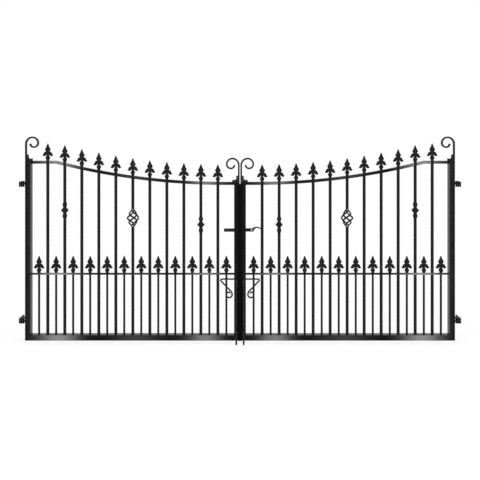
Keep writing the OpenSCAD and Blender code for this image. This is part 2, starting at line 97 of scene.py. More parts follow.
class GateIron(bpy.types.PropertyGroup):
    """Sizes of the bars, welds and fittings."""

    tall_bars: IntProperty(name="Tall bars", description="Tall bars in a leaf", default=11)
    dog_bars: IntProperty(name="Dog bars", description="Short bars in a leaf", default=12)
    weld: FloatProperty(
        name="Weld", description="Leg of a weld bead round a bar's foot", default=0.0032, unit="LENGTH")
    bolt_arm: FloatProperty(
        name="Bolt arm", description="Straight arm of a drop bolt's handle", default=0.1075, unit="LENGTH")
    bolt_handle: FloatProperty(
        name="Bolt handle", description="Diameter of a drop bolt's handle", default=0.012, unit="LENGTH")
    bolt_rod: FloatProperty(
        name="Bolt rod", description="Diameter of a drop bolt's rod", default=0.014, unit="LENGTH")
    bolt_place: FloatProperty(
        name="Bolt place", description="From the gate's middle to a drop bolt", default=0.028, unit="LENGTH")
    strip_width: FloatProperty(
        name="Cover strip", description="Width of the strip over the meeting gap", default=0.030,
        unit="LENGTH")
    strip_depth: FloatProperty(
        name="Strip thickness", description="Thickness of the cover strip", default=0.005, unit="LENGTH")
    strip_drop: FloatProperty(
        name="Strip drop", description="From the stile's top down to the strip's end", default=0.0127,
        unit="LENGTH")
    strip_gap: FloatProperty(
        name="Strip gap", description="Gap between the strip and the stiles", default=0.0003, unit="LENGTH")
    strip_edge: FloatProperty(
        name="Strip edge", description="Rounding of the strip's edges", default=0.0008, unit="LENGTH")
    latch_height: FloatProperty(
        name="Latch height", description="Height of the latch bolt", default=0.025, unit="LENGTH")
    pull_width: FloatProperty(
        name="Pull width", description="Width of the latch bolt's pull", default=0.009, unit="LENGTH")
    pull_radius: FloatProperty(
        name="Pull radius", description="Radius of that pull", default=0.052, unit="LENGTH")
    pull_start: FloatProperty(
        name="Pull start", description="Slope at which the pull leaves the bolt", default=math.radians(35),
        subtype="ANGLE")
    pull_end: FloatProperty(
        name="Pull end", description="Slope at which the pull ends", default=math.radians(40),
        subtype="ANGLE")
    padlock_hole: FloatProperty(
        name="Padlock hole", description="Diameter of the latch bolt's hole", default=0.010, unit="LENGTH")
    padlock_place: FloatProperty(
        name="Hole's place", description="From the gate's middle to the hole", default=0.08883,
        unit="LENGTH")
    latch_edge: FloatProperty(
        name="Latch edge", description="Rounding of the latch bolt's edges", default=0.0006, unit="LENGTH")
    plate_depth: FloatProperty(
        name="Wall plate", description="Thickness of a hinge's wall plate", default=0.006, unit="LENGTH")
    head_width: FloatProperty(
        name="Bolt head", description="Width across the flats of a wall bolt", default=0.017, unit="LENGTH")
    head_height: FloatProperty(
        name="Head height", description="Height of a wall bolt's head", default=0.0064, unit="LENGTH")
    head_chamfer: FloatProperty(
        name="Head chamfer", description="Width of the chamfer on a bolt head", default=0.0016,
        unit="LENGTH")
    washer_width: FloatProperty(
        name="Washer", description="Diameter of the washer under a bolt head", default=0.021, unit="LENGTH")
    washer_depth: FloatProperty(
        name="Washer thickness", description="Thickness of that washer", default=0.002, unit="LENGTH")


class GateOrnament(bpy.types.PropertyGroup):
    """Sizes of the castings, scrolls and baskets."""

    finial_height: FloatProperty(
        name="Finial height", description="Height of a finial over its seat", default=0.131, unit="LENGTH")
    finial_width: FloatProperty(
        name="Finial width", description="Width over the tips of the leaves", default=0.081, unit="LENGTH")
    leaf_depth: FloatProperty(
        name="Leaf thickness", description="Thickness of a finial's drooping leaf", default=0.0125,
        unit="LENGTH")
    dog_seat: FloatProperty(
        name="Dog seat", description="How far a dog bar's finial is drawn down over its bar", default=0.005,
        unit="LENGTH")
    scroll_width: FloatProperty(
        name="Scroll width", description="Width of a scroll's bar", default=0.013, unit="LENGTH")
    scroll_turn: FloatProperty(
        name="Scroll turn", description="Radius of a scroll's first turn", default=0.049, unit="LENGTH")
    scroll_edge: FloatProperty(
        name="Scroll edge", description="Rounding of a scroll's long edges", default=0.0016, unit="LENGTH")
    wire: FloatProperty(
        name="Basket wire", description="Diameter of a basket's wire", default=0.013, unit="LENGTH")
    wire_end: FloatProperty(
        name="Wire end", description="Share of its diameter to which a wire's ends are drawn down",
        default=0.65, subtype="FACTOR")
    swell: FloatProperty(
        name="Swell", description="How sharply a basket swells at its middle", default=2.2)
    twist: FloatProperty(
        name="Basket twist", description="Turn of a wire from end to end", default=math.radians(360),
        subtype="ANGLE")
    lean: FloatProperty(
        name="Basket lean", description="Turn of the first wire at the basket's middle",
        default=math.radians(8), subtype="ANGLE")


class GatePaint(bpy.types.PropertyGroup):
    """Gloss black paint."""

    black: FloatVectorProperty(
        name="Black", description="Colour of the paint", subtype="COLOR", default=(0.0035, 0.0035, 0.0037))
    bloom: FloatVectorProperty(
        name="Bloom", description="Colour of the paint where it has dulled", subtype="COLOR",
        default=(0.008, 0.008, 0.0082))
    gloss: FloatProperty(
        name="Gloss", description="Roughness of the smoothest paint", default=0.06, subtype="FACTOR")
    peel: FloatProperty(
        name="Peel", description="Depth of the paint's own ripple, in millimetres", default=0.012)


class GateStage(bpy.types.PropertyGroup):
    """Camera, floor and lights."""

    eye: FloatVectorProperty(
        name="Eye", description="Place of the camera", subtype="TRANSLATION", unit="LENGTH",
        default=(1.6765, -3.818, 1.4075))
    lens: FloatProperty(
        name="Lens", description="Focal length of the camera", default=37.64, unit="CAMERA")
    rise: FloatProperty(
        name="Rise", description="Vertical shift of the lens, as a share of the frame", default=-0.2183)
    drop: FloatProperty(
        name="Drop", description="Gap between the bolts' tips and the floor", default=0.004, unit="LENGTH")
    ambient: FloatProperty(
        name="Ambient", description="Level of the even light all round", default=0.7, subtype="FACTOR")
    white: FloatProperty(
        name="White", description="Share of plain white in the floor as it is seen", default=0.88,
        subtype="FACTOR")
    curtain: FloatProperty(
        name="Curtain", description="Level of the dark curtain behind the camera", default=0.03,
        subtype="FACTOR")
    key: FloatProperty(name="Key", description="Power of the overhead light", default=160.0, unit="POWER")


def iron():
    return bpy.context.scene.gate_iron


def ornament():
    return bpy.context.scene.gate_ornament


# Modelling by hand in edit mode


def start_clean():
    """Leaves nothing selected, in object mode."""
    if bpy.context.mode != "OBJECT":
        bpy.ops.object.mode_set(mode="OBJECT")
    bpy.ops.object.select_all(action="DESELECT")


def only(obj):
    """Selects this object alone and makes it active."""
    start_clean()
    obj.select_set(True)
    bpy.context.view_layer.objects.active = obj
    return obj


def enter(obj, mode="FACE"):
    """Opens the object in edit mode with nothing selected."""
    only(obj)
    bpy.ops.object.mode_set(mode="EDIT")
    bpy.ops.mesh.select_mode(type=mode)
    bpy.ops.mesh.select_all(action="DESELECT")


def choose(kind, test):
    """Selects the vertices, edges or faces of the open mesh for which the test holds."""
    bpy.ops.mesh.select_all(action="DESELECT")
    mesh = bpy.context.edit_object.data
    shape = bmesh.from_edit_mesh(mesh)
    for item in getattr(shape, kind):
        if test(item):
            item.select_set(True)
    shape.select_flush_mode()
    bmesh.update_edit_mesh(mesh)


def push(offset):
    """Extrudes the selected face by this offset."""
    bpy.ops.mesh.extrude_region_move(TRANSFORM_OT_translate={"value": offset})


def close(obj, angle=40.0):
    """Merges doubles, turns the faces outwards and shades the finished piece."""
    enter(obj)
    bpy.ops.mesh.select_all(action="SELECT")
    bpy.ops.mesh.remove_doubles(threshold=MERGE)
    bpy.ops.mesh.normals_make_consistent(inside=False)
    bpy.ops.object.mode_set(mode="OBJECT")
    bpy.ops.object.shade_smooth_by_angle(angle=math.radians(angle))
    return obj


def settle(obj):
    """Puts the object's place into its mesh."""
    only(obj)
    bpy.ops.object.transform_apply(location=True, rotation=True, scale=True)
    return obj


def apply_modifier(obj, kind, **settings):
    """Adds a modifier with these settings and applies it."""
    only(obj)
    made = obj.modifiers.new(kind.lower(), kind)
    for name, value in settings.items():
        setattr(made, name, value)
    bpy.ops.object.modifier_apply(modifier=made.name)
    return obj


def round_edges(obj, width, segments=2, angle=40.0):
    """Rounds the edges that are sharper than this angle in degrees."""
    return apply_modifier(
        obj, "BEVEL", width=width, segments=segments, limit_method="ANGLE",
        angle_limit=math.radians(angle))


def even_shading(obj):
    """Shades flat faces as flat, so that only the rounded edges between them are smooth."""
    return apply_modifier(obj, "WEIGHTED_NORMAL", weight=FACE_WEIGHT)


def named(name):
    """Gives the active object and its mesh their name."""
    obj = bpy.context.active_object
    obj.name = obj.data.name = name
    return obj


def copies(obj, places, name):
    """Copies of a finished shape at these places as one piece. The shape itself is used up."""
    made = []
    for place in places:
        only(obj)
        bpy.ops.object.duplicate()
        made.append(bpy.context.active_object)
        made[-1].location = place
    start_clean()
    bpy.data.objects.remove(obj)
    return joined(made, name)


def joined(objects, name):
    """Several objects as one piece."""
    start_clean()
    for obj in objects:
        obj.select_set(True)
    bpy.context.view_layer.objects.active = objects[0]
    bpy.ops.object.join()
    return settle(named(name))


def mirrored(obj, middle):
    """Turns the piece into its mirror image about the plane x = middle."""
    only(obj)
    bpy.ops.object.mode_set(mode="EDIT")
    bpy.ops.mesh.select_all(action="SELECT")
    bpy.ops.transform.resize(value=(-1, 1, 1), center_override=(middle, 0, 0))
    bpy.ops.mesh.normals_make_consistent(inside=False)
    bpy.ops.object.mode_set(mode="OBJECT")
    return obj


def loft(name, sides, stations, squeeze=1.0):
    """Solid up the Z axis through rings of (half width, half depth, height).

    A squeeze below 1 draws the ring's diagonals in, which leaves ridges on its axes.
    """
    off_axis = 0.1
    start_clean()
    half_width, half_depth, height = stations[0]
    bpy.ops.mesh.primitive_circle_add(
        vertices=sides, radius=1.0, fill_type="NGON", location=(0, 0, height), rotation=(0, 0, 0))
    obj = settle(named(name))
    enter(obj, "VERT")
    if squeeze < 1.0:
        choose("verts", lambda v: min(abs(v.co.x), abs(v.co.y)) > off_axis)
        bpy.ops.transform.resize(value=(squeeze, squeeze, 1), center_override=(0, 0, height))
    bpy.ops.mesh.select_all(action="SELECT")
    bpy.ops.transform.resize(value=(half_width, half_depth, 1), center_override=(0, 0, height))
    bpy.ops.mesh.select_mode(type="FACE")
    bpy.ops.mesh.select_all(action="SELECT")
    for wide, deep, high in stations[1:]:
        push((0, 0, high - height))
        bpy.ops.transform.resize(
            value=(wide / half_width, deep / half_depth, 1), center_override=(0, 0, high))
        half_width, half_depth, height = wide, deep, high
    return close(obj)


def bent_bar(obj, steps):
    """Draws the object's one face out from the origin along +X, bending it in the XZ plane.

    Each step is a straight run, then a turn in degrees, anticlockwise positive, at a radius.
    """
    enter(obj)
    bpy.ops.mesh.select_all(action="SELECT")
    point = Vector((0, 0, 0))
    heading = 0.0
    for run, turn, radius in steps:
        ahead = Vector((math.cos(heading), 0, math.sin(heading)))
        if run:
            push(ahead * run)
            point += ahead * run
        if turn:
            side = math.copysign(radius, turn)
            centre = point + side * Vector((-math.sin(heading), 0, math.cos(heading)))
            bpy.ops.mesh.spin(
                steps=math.ceil(abs(turn) / BEND_STEP), angle=math.radians(turn), center=centre,
                axis=(0, 1, 0), use_auto_merge=False)
            heading += math.radians(turn)
            point = centre + side * Vector((math.sin(heading), 0, -math.cos(heading)))
    bpy.ops.object.mode_set(mode="OBJECT")
    return obj


def flat_face(width, depth):
    """Rectangle across the X axis, its width along Z and its depth along Y."""
    start_clean()
    bpy.ops.mesh.primitive_plane_add(size=1.0, rotation=(0, math.radians(90), 0))
    obj = bpy.context.active_object
    obj.scale = (width, depth, 1)
    return settle(obj)


def round_face(diameter, sides):
    """Disc across the X axis."""
    start_clean()
    bpy.ops.mesh.primitive_circle_add(
        vertices=sides, radius=diameter / 2, fill_type="NGON", rotation=(0, math.radians(90), 0))
    return settle(bpy.context.active_object)


# Places read from the frame


def middle_of_gate():
    return (CAD_BOX[0].x + CAD_BOX[1].x) / 2


def bar_counts():
    return {"tall": iron().tall_bars, "dog": iron().dog_bars}


def bar_row(node, count):
    """Axis and top of each bar of a row, and the bars' diameter."""
    low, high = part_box(node)
    diameter = high.y - low.y
    first = low.x + diameter / 2
    step = (high.x - low.x - diameter) / (count - 1)
    heights = [(v.co.x, v.co.z) for v in frame["nodes"][node].data.vertices]
    places = []
    for k in range(count):
        x = first + k * step
        top = max(z for at, z in heights if abs(at - x) < diameter)
        places.append(Vector((x, (low.y + high.y) / 2, top)))
    return places, diameter


def dress(obj, body, slot, *nodes, finish=None):
    """Hangs a piece on its body, hides the nodes that it stands for, and paints it.

    Without a finish of its own, the piece takes the one of its slot.
    """
    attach(obj, body)
    if nodes:
        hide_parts(*nodes)
    paint = finish or FINISHES[slot]
    obj.data.materials.clear()
    obj.data.materials.append(bpy.data.materials[paint.__name__])


# Paint


class Signal:
    """An output of a material's nodes. Arithmetic on it adds Math nodes."""

    def __init__(self, tree, socket=None):
        self.tree = tree
        self.socket = socket

    def node(self, kind, settings=None, sockets=None, output=0):
        """Adds a node, sets its settings, then fills its sockets with values or other outputs."""
        made = self.tree.nodes.new(kind)
        for name, value in (settings or {}).items():
            setattr(made, name, value)
        for name, value in (sockets or {}).items():
            if isinstance(value, Signal):
                self.tree.links.new(value.socket, made.inputs[name])
            else:
                made.inputs[name].default_value = value
        return Signal(self.tree, made.outputs[output] if made.outputs else None)

    def maths(self, operation, first, second):
        return self.node("ShaderNodeMath", {"operation": operation}, {0: first, 1: second})

    def __add__(self, other):
        return self.maths("ADD", self, other)

    def __radd__(self, other):
        return self.maths("ADD", other, self)

    def __sub__(self, other):
        return self.maths("SUBTRACT", self, other)

    def __rsub__(self, other):
        return self.maths("SUBTRACT", other, self)

    def __mul__(self, other):
        return self.maths("MULTIPLY", self, other)

    def __rmul__(self, other):
        return self.maths("MULTIPLY", other, self)


def new_shader(name):
    """An empty material and the start of its node tree."""
    material = bpy.data.materials.new(name)
    material.use_nodes = True
    material.node_tree.nodes.clear()
    return material, Signal(material.node_tree)


def finish_shader(start, surface):
    start.node("ShaderNodeOutputMaterial", None, {"Surface": surface})


def noise(start, at, scale, detail, roughness=0.55):
    return start.node(
        "ShaderNodeTexNoise", None,
        {"Vector": at, "Scale": scale, "Detail": detail, "Roughness": roughness})


def stretched(start, at, scale):
    """Object coordinates drawn out by these factors."""
    return start.node("ShaderNodeMapping", None, {"Vector": at, "Scale": scale})


def painted(name, shine, wear, relief):
    """Black paint over a worked surface.

    Its shine is its specular level, its wear is the roughness that it gains where it has dulled, and the
    relief gives a height in millimetres and the places that have dulled.
    """
    paint = bpy.context.scene.gate_paint
    material, start = new_shader(name)
    at = start.node("ShaderNodeTexCoord", output="Object")
    height, dullness = relief(start, at)
    peel = noise(start, at, scale=330.0, detail=1.0)
    bloom = noise(start, at, scale=5.0, detail=4.0) * dullness
    colour = start.node(
        "ShaderNodeMix", {"data_type": "RGBA"},
        {"Factor": bloom, "A": (*paint.black, 1), "B": (*paint.bloom, 1)}, output="Result")
    bump = start.node(
        "ShaderNodeBump", None,
        {"Strength": 1.0, "Distance": MILLIMETRE, "Height": height + paint.peel * peel})
    surface = start.node("ShaderNodeBsdfPrincipled", None, {
        "Base Color": colour, "Roughness": paint.gloss + wear * bloom, "Specular IOR Level": shine,
        "Normal": bump})
    finish_shader(start, surface)
    return material


def box_paint():
    """Rolled box section: nearly flat, under a thin even coat."""
    def relief(start, at, waves=0.15):
        dullness = noise(start, at, scale=14.0, detail=3.0)
        return waves * noise(start, at, scale=7.0, detail=1.0), dullness
    return painted("box_paint", shine=0.36, wear=0.1, relief=relief)


def strip_paint():
    """Flat bar in the frame's black, smooth and hardly dulled, with a lower shine so that it reflects less:
    painted shade, a darker copy of the frame's paint that stands in for the shade of the gap between the
    leaves.
    """
    def relief(start, at, waves=0.05, share=0.3):
        dullness = share * noise(start, at, scale=14.0, detail=3.0)
        return waves * noise(start, at, scale=7.0, detail=1.0), dullness
    return painted("strip_paint", shine=0.1, wear=0.05, relief=relief)


def bar_paint():
    """Hot rolled round bar: mill marks drawn out along its length."""
    def relief(start, at, depth=0.006, draw=(260.0, 260.0, 7.0)):
        marks = noise(start, stretched(start, at, draw), scale=1.0, detail=3.0)
        return depth * marks, marks
    return painted("bar_paint", shine=0.12, wear=0.6, relief=relief)


def cast_paint():
    """Sand casting: a pitted grain under the paint."""
    def relief(start, at, grain=0.05, depth=0.2):
        pits = noise(start, at, scale=160.0, detail=2.0)
        return grain * noise(start, at, scale=600.0, detail=3.0) + depth * pits, pits
    return painted("cast_paint", shine=0.12, wear=0.9, relief=relief)


def forged_paint():
    """Bar worked hot over a former: shallow hammer flats."""
    def relief(start, at, depth=0.25, scale=75.0, smoothness=0.6):
        flats = start.node(
            "ShaderNodeTexVoronoi", {"feature": "SMOOTH_F1"},
            {"Vector": at, "Scale": scale, "Smoothness": smoothness}, output="Distance")
        return depth * flats, noise(start, at, scale=40.0, detail=3.0)
    return painted("forged_paint", shine=0.14, wear=0.5, relief=relief)


def fitting_paint():
    """Hinges, bolts and latch: thicker paint, dulled where hands and rods rub it."""
    def relief(start, at, depth=0.06, draw=(120.0, 120.0, 45.0)):
        runs = noise(start, stretched(start, at, draw), scale=1.0, detail=3.0)
        return depth * runs, noise(start, at, scale=90.0, detail=4.0)
    return painted("fitting_paint", shine=0.16, wear=0.5, relief=relief)


FINISHES = {
    "frame": box_paint, "bars": bar_paint, "castings": cast_paint, "scrolls": forged_paint,
    "fittings": fitting_paint,
}

# Rounding of the edges of the CAD nodes that stay, by the last words of their names
EDGES = {
    "hinge_stile": 0.0016, "meeting_stile": 0.0016, "bottom_rail": 0.0016, "top_rail": 0.0014,
    "bar_strip": 0.0012, "tall_bars": 0.0008, "dog_bars": 0.0008, "collars": 0.0008, "stem_leaves": 0.0015,
    "hinge_eyes": 0.001, "bolt_guides": 0.0015, "hinge_bracket": 0.0012, "hinge_pins": 0.0012,
    "latch_keep": 0.0008, "latch_guides": 0.0008,
}


class GATE_OT_paint(bpy.types.Operator):
    """Mixes the six finishes and lays them on the CAD nodes, whose edges are rounded by modifiers"""

    bl_idname = "gate.paint"
    bl_label = "Paint the frame"

    def execute(self, context):
        for finish in (*FINISHES.values(), strip_paint):
            finish()
        slots = {row["node"]: row["material_slot"] for row in frame["record"]["subparts"]}
        for name, obj in frame["nodes"].items():
            only(obj)
            obj.data.materials.clear()
            finish = box_paint if name.endswith("bar_strip") else FINISHES[slots[name]]
            obj.data.materials.append(bpy.data.materials[finish.__name__])
            width = next((w for end, w in EDGES.items() if name.endswith(end)), 0)
            if width:
                soften(obj, width)
        return {"FINISHED"}


def soften(obj, width):
    """Live modifiers that merge a CAD node's triangles, join its flats and round its edges."""
    bpy.ops.mesh.customdata_custom_splitnormals_clear()
    bpy.ops.object.shade_smooth()
    merge = obj.modifiers.new("merge_seams", "WELD")
    merge.merge_threshold = MERGE
    flats = obj.modifiers.new("join_flats", "DECIMATE")
    flats.decimate_type = "DISSOLVE"
    flats.angle_limit = FLAT_ANGLE
    edges = obj.modifiers.new("round_edges", "BEVEL")
    edges.width = width
    edges.segments = 2
    edges.limit_method = "ANGLE"
    edges.angle_limit = EDGE_ANGLE
    shade = obj.modifiers.new("even_shading", "WEIGHTED_NORMAL")
    shade.weight = FACE_WEIGHT


# Castings

# A finial in shares of its half width and of its height: radius and height of the knop, half width, half
# thickness and height of the spear, and place, height and width along a drooping leaf
KNOP_SHARES = (
    (0.27, 0.0), (0.28, 0.05), (0.3, 0.072), (0.42, 0.146), (0.45, 0.158), (0.45, 0.17), (0.42, 0.186),
    (0.3, 0.27), (0.21, 0.335), (0.17, 0.38), (0.18, 0.43), (0.24, 0.48), (0.2, 0.545))
SPEAR_SHARES = (
    (0.22, 0.2, 0.48), (0.33, 0.2, 0.53), (0.5, 0.235, 0.612), (0.56, 0.25, 0.643), (0.56, 0.25, 0.657),
    (0.5, 0.23, 0.69), (0.36, 0.185, 0.765), (0.2, 0.125, 0.885), (0.115, 0.085, 0.965),
    (0.08, 0.06, 0.99), (0.035, 0.035, 1.0))
LEAF_SHARES = (
    (0.05, 0.468, 0.12), (0.2, 0.466, 0.16), (0.33, 0.45, 0.19), (0.44, 0.423, 0.205),
    (0.54, 0.388, 0.2), (0.63, 0.355, 0.182), (0.73, 0.329, 0.155), (0.84, 0.321, 0.11),
    (0.94, 0.332, 0.062), (1.01, 0.352, 0.02))


def finial():
    """One cast finial on the origin: a diamond knop, two drooping leaves and a ridged spear."""
    size = ornament()
    half, tall = size.finial_width / 2, size.finial_height
    rings = [(r * half, r * half, z * tall) for r, z in KNOP_SHARES]
    core = loft("finial_core", sides=16, stations=rings)
    rings = [(w * half, d * half, z * tall) for w, d, z in SPEAR_SHARES]
    spear = loft("finial_spear", sides=8, stations=rings, squeeze=0.84)
    pieces = [core, spear]
    for turn in (0, 180):
        leaf = drooping_leaf(half, tall, size.leaf_depth)
        leaf.rotation_euler = (0, 0, math.radians(turn))
        pieces.append(settle(leaf))
    for other in pieces[1:]:
        apply_modifier(core, "BOOLEAN", operation="UNION", solver="EXACT", object=other)
        bpy.data.objects.remove(other)
    core.name = core.data.name = "finial"
    return close(core, angle=35.0)


def drooping_leaf(half, tall, depth):
    """Leaf of a finial: drawn out along its curve, thickest where it droops, with a tip that flicks up."""
    route = [Vector((x * half, 0, z * tall)) for x, z, _ in LEAF_SHARES]
    widths = [w for _, _, w in LEAF_SHARES]
    obj = round_face(widths[0] * tall, sides=12)
    obj.scale = (1, depth / (max(widths) * tall), 1)
    obj.location = route[0]
    named("finial_leaf")
    settle(obj)
    enter(obj)
    bpy.ops.mesh.select_all(action="SELECT")
    heading = 0.0
    last = len(route) - 1
    for i in range(1, last + 1):
        push(route[i] - route[i - 1])
        ahead = route[min(i + 1, last)] - route[i - 1]
        turned = math.atan2(ahead.z, ahead.x)
        bpy.ops.transform.rotate(value=turned - heading, orient_axis="Y", center_override=route[i])
        bpy.ops.transform.resize(value=(widths[i] / widths[i - 1],) * 3, center_override=route[i])
        heading = turned
    bpy.ops.object.mode_set(mode="OBJECT")
    return close(obj)


class GATE_OT_finials(bpy.types.Operator):
    """Models one finial and stands a copy on every bar"""

    bl_idname = "gate.finials"
    bl_label = "Cast finials"

    def execute(self, context):
        for side in SIDES:
            for kind, count in bar_counts().items():
                places, _ = bar_row(f"{side}_{kind}_bars", count)
                if kind == "dog":
                    places = [place - Vector((0, 0, ornament().dog_seat)) for place in places]
                row = copies(finial(), places, f"{side}_{kind}_castings")
                dress(row, f"{side}_leaf", "castings", f"{side}_{kind}_finials")
        return {"FINISHED"}


# Scrolls and baskets

# Radii of a scroll's quarter turns, in shares of the first
TURN_SHARES = (1.0, 0.865, 0.655, 0.54)

# Distance of a basket's wires from its axis at the ends, in shares of their diameter there, and the steps
# along a wire
SEAT_SHARE = 0.77
WIRE_STEPS = 72


def scroll_steps(tall):
    """Stem and quarter turns of a scroll of this height."""
    size = ornament()
    stem = tall - size.scroll_turn - size.scroll_width / 2
    return [(0 if i else stem, -90, share * size.scroll_turn) for i, share in enumerate(TURN_SHARES)]


class GATE_OT_scrolls(bpy.types.Operator):
    """Bends the scroll on top of each stile, with rounded edges and a snubbed end"""

    bl_idname = "gate.scrolls"
    bl_label = "Scrolls"

    def execute(self, context):
        for side in SIDES:
            for place in ("hinge", "meeting"):
                node = f"{side}_{place}_scroll"
                low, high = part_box(node)
                width = ornament().scroll_width
                obj = bent_bar(flat_face(width, high.y - low.y), scroll_steps(high.z - low.z))
                named(f"{side}_{place}_curl")
                obj.rotation_euler = (0, math.radians(-90), 0)
                close(settle(obj))
                round_edges(obj, ornament().scroll_edge, segments=3)
                curls_right = (side == "left") == (place == "hinge")
                obj.location = (low.x + width / 2, (low.y + high.y) / 2, low.z)
                settle(obj)
                if not curls_right:
                    mirrored(obj, (low.x + high.x) / 2)
                close(obj)
                even_shading(obj)
                dress(obj, f"{side}_leaf", "scrolls", node)
        return {"FINISHED"}


class GATE_OT_baskets(bpy.types.Operator):
    """Twists four round wires into the basket of each leaf"""

    bl_idname = "gate.baskets"
    bl_label = "Baskets"

    def execute(self, context):
        size = ornament()
        for side in SIDES:
            node = f"{side}_basket"
            low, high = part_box(node)
            middle = (low + high) / 2
            tall = high.z - low.z
            reach = (high.y - low.y) / 2 - size.wire / 2
            hand = 1 if side == "left" else -1
            wires = []
            for quarter in range(4):
                wires.append(basket_wire(middle, tall, reach, size.lean + quarter * math.pi / 2, hand))
            obj = joined(wires, f"{side}_cage")
            close(obj)
            dress(obj, f"{side}_leaf", "bars", node)
        return {"FINISHED"}


def basket_wire(middle, tall, widest, phase, hand):
    """One wire of a basket as a mesh: seated at both ends, swelling and turning between them."""
    size = ornament()
    seat = SEAT_SHARE * size.wire_end * size.wire
    line = bpy.data.curves.new("basket_wire", "CURVE")
    line.dimensions = "3D"
    line.bevel_depth = size.wire / 2
    line.bevel_resolution = 4
    line.use_fill_caps = True
    spline = line.splines.new("POLY")
    spline.points.add(WIRE_STEPS)
    for i, point in enumerate(spline.points):
        t = i / WIRE_STEPS
        reach = seat + (widest - seat) * math.sin(math.pi * t) ** size.swell
        turn = phase + size.twist * (t - 0.5)
        point.co = (
            middle.x + hand * reach * math.cos(turn), middle.y + reach * math.sin(turn),
            middle.z + (t - 0.5) * tall, 1)
        point.radius = size.wire_end + (1 - size.wire_end) * math.sin(math.pi * t)
    obj = bpy.data.objects.new("basket_wire", line)
    bpy.context.scene.collection.objects.link(obj)
    only(obj)
    bpy.ops.object.convert(target="MESH")
    return bpy.context.active_object


# Drop bolts and latch

# Handle of a drop bolt in shares of its arm: the run before each bend, its turn in degrees and its radius
HANDLE_SHARES = ((1, -134, 0.084), (0.95, 44, 0.38), (0, 180, 0.21), (0, 90, 0.168), (0, 80, 0.093))

# Rounding of the handle's end in shares of its diameter
HANDLE_END_SHARE = 0.32

# Tip of a drop bolt's rod in shares of its radius, radius and height, and the easing of the rod's top
TIP_SHARES = ((0.35, 0.0), (0.62, 0.2), (0.86, 0.75), (1.0, 1.6))
TOP_SHARE = 0.25

# Underside of the pull's root in shares of the latch bolt's height, from the padlock hole: its foot, the
# point that it bends towards, and where it meets the pull
ROOT_SHARES = ((0.547, -0.5), (0.947, 0.42), (1.407, 0.6))
ROOT_STEPS = 5


class GATE_OT_drop_bolts(bpy.types.Operator):
    """Bends the handle of each drop bolt and turns the tip of its rod"""

    bl_idname = "gate.drop_bolts"
    bl_label = "Drop bolts"

    def execute(self, context):
        size = iron()
        arm, handle, rod = size.bolt_arm, size.bolt_handle, size.bolt_rod
        bends = [(run * arm, turn, radius * arm) for run, turn, radius in HANDLE_SHARES]
        for side in SIDES:
            node = f"{side}_drop_bolt"
            low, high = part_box(node)
            curl = bent_bar(round_face(handle, sides=16), bends)
            curl.name = f"{side}_curl_handle"
            close(curl)
            round_edges(curl, handle * HANDLE_END_SHARE, segments=3)
            stem = rod_with_tip(rod, high.z - low.z)
            stem.location = (0, 0, low.z - high.z + rod / 2)
            settle(stem)
            obj = joined([curl, stem], f"{side}_bolt_and_handle")
            outward = 1 if side == "right" else -1
            if side == "left":
                mirrored(obj, 0)
            obj.location = (
                middle_of_gate() + outward * size.bolt_place, (low.y + high.y) / 2, high.z - rod / 2)
            settle(obj)
            close(obj)
            dress(obj, f"{side}_drop_bolt", "fittings", node)
        return {"FINISHED"}


def rod_with_tip(diameter, length):
    """Round rod standing on the origin, with a turned point below and an eased top."""
    radius = diameter / 2
    ease = TOP_SHARE * radius
    stations = [(share * radius, share * radius, rise * radius) for share, rise in TIP_SHARES]
    stations += [(radius, radius, length - ease), (radius - ease, radius - ease, length)]
    return loft("rod", sides=24, stations=stations)


def drawn_plate(rows, depth):
    """Flat bar along X, drawn through upright sections of place, lower edge and upper edge."""
    place, low, high = rows[0]
    obj = flat_face(high - low, depth)
    obj.location = (place, 0, (low + high) / 2)
    settle(obj)
    enter(obj)
    bpy.ops.mesh.select_all(action="SELECT")
    for ahead, under, over in rows[1:]:
        push((ahead - place, 0, (under + over - low - high) / 2))
        bpy.ops.transform.resize(
            value=(1, 1, (over - under) / (high - low)), center_override=(ahead, 0, (under + over) / 2))
        place, low, high = ahead, under, over
    bpy.ops.object.mode_set(mode="OBJECT")
    return close(obj)


def latch_plate(start, crest, centre, depth):
    """The latch bolt from its start to the root of its pull, about the bolt's axis."""
    size = iron()
    tall = size.latch_height
    foot, bend, meet = [Vector((size.padlock_place + x * tall, z * tall)) for x, z in ROOT_SHARES]
    rows = [(start, -tall / 2, tall / 2), (foot.x, -tall / 2, tall / 2)]
    for i in range(1, ROOT_STEPS + 1):
        t = i / ROOT_STEPS
        point = (1 - t) ** 2 * foot + 2 * t * (1 - t) * bend + t ** 2 * meet
        over = centre + math.sqrt(size.pull_radius ** 2 - (point.x - crest) ** 2)
        rows.append((point.x, point.y, over))
    return drawn_plate(rows, depth)


def latch_pull(crest, centre, depth):
    """The curved pull, bent about a centre below its crest."""
    size = iron()
    turn = math.degrees(size.pull_start + size.pull_end)
    pull = bent_bar(flat_face(size.pull_width, depth), [(0, -turn, size.pull_radius)])
    pull.rotation_euler = (0, -size.pull_start, 0)
    pull.location = (
        crest - size.pull_radius * math.sin(size.pull_start), 0,
        centre + size.pull_radius * math.cos(size.pull_start))
    return close(settle(pull))


def padlock_drill(depth):
    """Drill through the latch bolt where the padlock goes."""
    size = iron()
    start_clean()
    bpy.ops.mesh.primitive_cylinder_add(
        vertices=32, radius=size.padlock_hole / 2, depth=2 * depth, location=(size.padlock_place, 0, 0),
        rotation=(math.radians(90), 0, 0))
    return bpy.context.active_object


